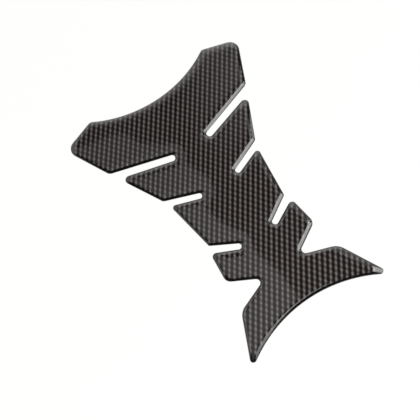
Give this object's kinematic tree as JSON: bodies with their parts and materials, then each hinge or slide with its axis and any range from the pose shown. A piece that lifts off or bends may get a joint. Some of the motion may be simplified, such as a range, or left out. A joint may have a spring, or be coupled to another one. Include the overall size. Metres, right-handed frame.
{
  "type": "motorcycle tank pad",
  "caption": "Self-adhesive tank pad: a flat back of film under one gloss resin dome, wide at the front, with swept side fins and a forked tail.",
  "frame": {"origin": "centre of the pad's length and width, on the flat adhesive back", "axes": "+Z out of the back and up through the dome, +Y along the pad to its wide front end, +X to the right of it"},
  "size_m": [0.1464, 0.2156, 0.0023],
  "materials": {
    "domed_print": "dark carbon-look weave print under clear gloss resin"
  },
  "bodies": {
    "root": {"tank_pad": "domed_print"}
  },
  "joints": []
}
